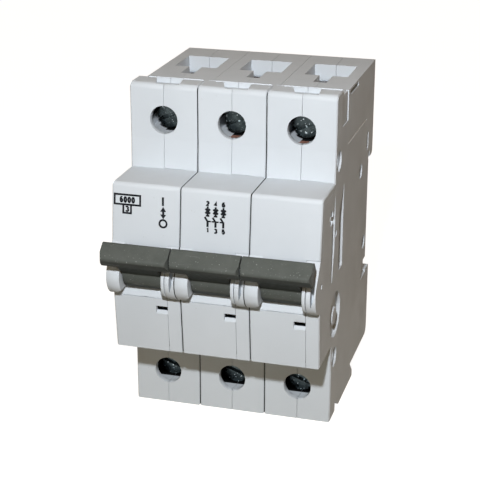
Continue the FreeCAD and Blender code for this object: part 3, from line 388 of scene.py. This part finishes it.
def ribbon(points, width):
    """Quads along a line of points, mitred at its bends. Equal ends close it."""
    places = [Vector(point) for point in points]
    closed = (places[0] - places[-1]).length < 1e-6
    sides = []
    for i, place in enumerate(places):
        before = places[i - 1] if i else places[-2] if closed else None
        after = places[i + 1] if i + 1 < len(places) else places[1] if closed else None
        steps = [
            step.normalized() for step in
            (place - before if before else None, after - place if after else None) if step]
        along = sum(steps, Vector((0, 0))).normalized()
        spread = width / 2 / max(along.dot(steps[0]), SHARPEST_MITRE)
        side = Vector((-along.y, along.x)) * spread
        sides.append((place + side, place - side))
    return [
        [tuple(a), tuple(b), tuple(d), tuple(c)]
        for (a, b), (c, d) in zip(sides, sides[1:])]


# Lines of each digit, in a box one wide and one high round its middle
DIGITS = {
    "0": [arc(0, 0, 0.5, 0.5, 0, 360, 20)],
    "1": [[(-0.3, 0.28), (0.06, 0.5), (0.06, -0.5)]],
    "2": [arc(0, 0.2, 0.45, 0.3, 165, -25) + [(-0.46, -0.5), (0.5, -0.5)]],
    "3": [arc(-0.05, 0.24, 0.45, 0.26, 150, -90), arc(-0.05, -0.24, 0.53, 0.26, 90, -150)],
    "4": [[(0.2, -0.5), (0.2, 0.5), (-0.5, -0.18), (0.5, -0.18)]],
    "5": [[(0.42, 0.5), (-0.34, 0.5), (-0.42, 0.04)] + arc(0, -0.17, 0.46, 0.33, 130, -150)],
    "6": [arc(0, -0.18, 0.46, 0.32, 0, 360, 16), arc(0.14, -0.05, 0.6, 0.55, 180, 62)],
}


def digits(name, text, x, z, size, weight, pitch=1.0):
    """Plain digits from ribbons, with each digit's width and height in size."""
    outlines = []
    for i, character in enumerate(text):
        middle = x + (i - (len(text) - 1) / 2) * pitch
        for line in DIGITS[character]:
            outlines += ribbon([(middle + a * size[0], z + b * size[1]) for a, b in line], weight)
    print_sheet(name, outlines)


THIN = 0.46
PLAIN = 0.5
BOLD = 0.56

# Rating and class in their boxes
print_sheet("mark_rating_box", frame_strokes(-26.25, -19.5, 16.8, 19.3, PLAIN))
digits("mark_rating", "6000", -22.9, 18.05, (0.54, 1.24), THIN, pitch=1.04)
print_sheet("mark_class_box", frame_strokes(-23.95, -21.9, 14.65, 16.8, PLAIN))
digits("mark_class", "3", -22.93, 15.72, (0.74, 1.16), 0.42)

# On and off marks with a double arrow between them
print_sheet("mark_on", [stroke(-13.53, 19.5, -13.5, 17.3, BOLD)])
print_sheet("mark_arrow", [
    [(-13.43, 17.1), (-14.2, 15.82), (-12.66, 15.82)],
    stroke(-13.42, 15.9, -13.41, 15.0, BOLD),
    [(-14.18, 15.1), (-13.4, 13.92), (-12.64, 15.1)]])
print_sheet("mark_off", circle_strokes(-13.42, 12.77, 0.94, PLAIN))

# Schematic of the three poles: terminal numbers, cross, bar, switch arm and stem
POLE_MARKS = ((-1.88, "2", "1"), (0.16, "4", "3"), (2.15, "6", "5"))
for number, (x, top_digit, low_digit) in enumerate(POLE_MARKS, start=1):
    digits(f"mark_line_{number}", top_digit, x - 0.02, 19.0, (0.54, 0.92), THIN)
    digits(f"mark_load_{number}", low_digit, x + 0.08, 12.2, (0.54, 0.9), THIN)
    print_sheet(f"mark_pole_{number}", [
        stroke(x, 18.25, x, 15.7, PLAIN),
        stroke(x - 0.6, 17.66, x + 0.6, 16.46, BOLD),
        stroke(x - 0.6, 16.46, x + 0.6, 17.66, BOLD),
        stroke(x - 0.46, 15.9, x + 0.46, 15.9, THIN),
        stroke(x - 0.76, 15.58, x - 0.02, 14.5, PLAIN),
        stroke(x + 0.02, 14.66, x + 0.02, 13.08, BOLD)])
TIE_HEIGHT = 14.52
TIE_DASH = 0.7
TIE_STARTS = (-1.7, -0.85, 0.3, 1.2)
print_sheet("mark_tie", [
    stroke(start, TIE_HEIGHT, start + TIE_DASH, TIE_HEIGHT, 0.38) for start in TIE_STARTS])


# Step in the notch of each top lip, and the right end of the rib behind it
LIP_TOP = 44.5
STEP_HEIGHTS = (LIP_TOP - 2.25, LIP_TOP - 1.15)
STEP_OUTLINE = ((-3.79, -38.11), (-2.0, -43.29), (3.99, -43.29), (3.39, -38.11))
RIB_HEIGHTS = (LIP_TOP - 0.02, LIP_TOP + 0.25)
RIB_OUTLINE = ((5.4, -37.5), (5.4, -37.9), (8.8, -37.9), (8.8, -37.5))
for number, centre in enumerate(POLE_CENTRES, start=1):
    for name, outline, heights in (
            ("lip_step", STEP_OUTLINE, STEP_HEIGHTS), ("lip_rib", RIB_OUTLINE, RIB_HEIGHTS)):
        low, high = ([(x + centre, y, z) for x, y in outline] for z in heights)
        prism(f"{name}_{number}", low, high, FINISHES["case_grey"])

# Sloping bed in the right side's long groove that catches the light, coloured paler than the case
# as a painted highlight
BED_SECTION = ((26.41, 28.31), (26.94, 28.36), (26.41, 28.78))
BED_ENDS = (-29.98, -5.32)
front_end, rear_end = ([(x, y, z) for x, z in BED_SECTION] for y in BED_ENDS)
prism("groove_bed", front_end, rear_end, PAINTED_HIGHLIGHT_FINISH)


# Edges of the visible mouldings

def softened(name, width, segments=2, angle=35):
    """Rounds a node's sharp edges as moulded ones are."""
    shown = frame["nodes"][name]
    weld = shown.modifiers.new("weld", "WELD")
    weld.merge_threshold = 0.002 * MM
    edge = shown.modifiers.new("edge", "BEVEL")
    edge.width = width * MM
    edge.segments = segments
    edge.limit_method = "ANGLE"
    edge.angle_limit = math.radians(angle)
    edge.harden_normals = True
    edge.use_clamp_overlap = True


SHELL_EDGE = 0.06
TOGGLE_EDGE = 0.3
for pole in "123":
    softened("base_shell_" + pole, SHELL_EDGE)
    softened("cover_shell_" + pole, SHELL_EDGE)
    softened("toggle_" + pole, TOGGLE_EDGE, segments=3, angle=30)


# Floor: pale paper that looks white and keeps the object's shadow

def seen_directly(tree):
    """1 for camera, glossy and transmission rays."""
    path = node(tree, "ShaderNodeLightPath").outputs
    total = maths(tree, "MAXIMUM", path["Is Camera Ray"], path["Is Glossy Ray"])
    return maths(tree, "MAXIMUM", total, path["Is Transmission Ray"])


FLOOR_HALF = 3.0
FLOOR_LEVEL = cad_box[0][2] - 0.02 * MM
FLOOR_CORNERS = ((-1, -1), (1, -1), (1, 1), (-1, 1))
FLOOR_GLOW = 0.965
floor_mesh = bpy.data.meshes.new("floor")
sheet = bmesh.new()
sheet.faces.new([
    sheet.verts.new((x * FLOOR_HALF, y * FLOOR_HALF, FLOOR_LEVEL)) for x, y in FLOOR_CORNERS])
sheet.to_mesh(floor_mesh)
sheet.free()
floor = bpy.data.objects.new("floor", floor_mesh)
scene.collection.objects.link(floor)

floor_look = bpy.data.materials.new("floor_paper")
floor_look.use_nodes = True
tree = floor_look.node_tree
paper = tree.nodes["Principled BSDF"]
paper.inputs["Base Color"].default_value = (0.38, 0.34, 0.27, 1)
paper.inputs["Roughness"].default_value = 0.9
paper.inputs["Specular IOR Level"].default_value = 0.0
glow = node(tree, "ShaderNodeEmission")
glow.inputs["Color"].default_value = (1, 1, 1, 1)
power = maths(tree, "MULTIPLY", seen_directly(tree), FLOOR_GLOW)
tree.links.new(power, glow.inputs["Strength"])
both = node(tree, "ShaderNodeAddShader")
tree.links.new(paper.outputs[0], both.inputs[0])
tree.links.new(glow.outputs[0], both.inputs[1])
tree.links.new(both.outputs[0], tree.nodes["Material Output"].inputs["Surface"])
floor_mesh.materials.append(floor_look)

# World: white where it is seen, dim and warm where it lights
world = bpy.data.worlds.new("studio")
scene.world = world
world.use_nodes = True
tree = world.node_tree
sky = tree.nodes["Background"]
sky.inputs["Color"].default_value = (1.0, 0.64, 0.28, 1)
sky.inputs["Strength"].default_value = 0.16
plain = node(tree, "ShaderNodeBackground")
plain.inputs["Color"].default_value = (1, 1, 1, 1)
plain.inputs["Strength"].default_value = 1.0
choice = node(tree, "ShaderNodeMixShader")
tree.links.new(seen_directly(tree), choice.inputs[0])
tree.links.new(sky.outputs[0], choice.inputs[1])
tree.links.new(plain.outputs[0], choice.inputs[2])
tree.links.new(choice.outputs[0], tree.nodes["World Output"].inputs["Surface"])


# Lamps: the camera's flash, a weak fill from the front and a low sun from behind

def lamp(name, kind, energy, colour, place, target, **settings):
    """Lamp at a place in millimetres, turned to a target."""
    light = bpy.data.lights.new(name, kind)
    light.energy = energy
    light.color = colour
    for key, value in settings.items():
        setattr(light, key, value)
    made = bpy.data.objects.new(name, light)
    scene.collection.objects.link(made)
    made.location = Vector(place) * MM
    made.rotation_euler = (Vector(target) - Vector(place)).to_track_quat("-Z", "Y").to_euler()


lamp(
    "flash", "SPOT", 3.0, (0.92, 0.955, 1.0), (54, -262, 150), (12, -44, 44),
    shadow_soft_size=0.007, spot_size=math.radians(84), spot_blend=1.0)
lamp("fill", "AREA", 2.0, (0.9, 1.0, 0.95), (-480, -1300, 110), (0, -35, 0), size=0.9)
lamp(
    "back", "SUN", 4.4, (0.88, 0.94, 1.0), (-700, 620, -30), (0, -30, -30),
    angle=math.radians(5))

# Camera at the photograph's place
CAMERA_PLACE = Vector((92.15, -360.09, 127.12))
LOOK = Vector((-0.2565, 0.9013, -0.3491)).normalized()
ROUGHLY_UP = Vector((-0.0970, 0.3354, 0.9371))
across = LOOK.cross(ROUGHLY_UP).normalized()
turned = Matrix((across, across.cross(LOOK), -LOOK)).transposed().to_4x4()
lens = bpy.data.cameras.new("camera")
lens.sensor_width = 36.0
lens.lens = 102.0
lens.clip_start = 0.01
camera = bpy.data.objects.new("camera", lens)
scene.collection.objects.link(camera)
camera.matrix_world = Matrix.Translation(CAMERA_PLACE * MM) @ turned
scene.camera = camera
scene.view_settings.view_transform = "Standard"
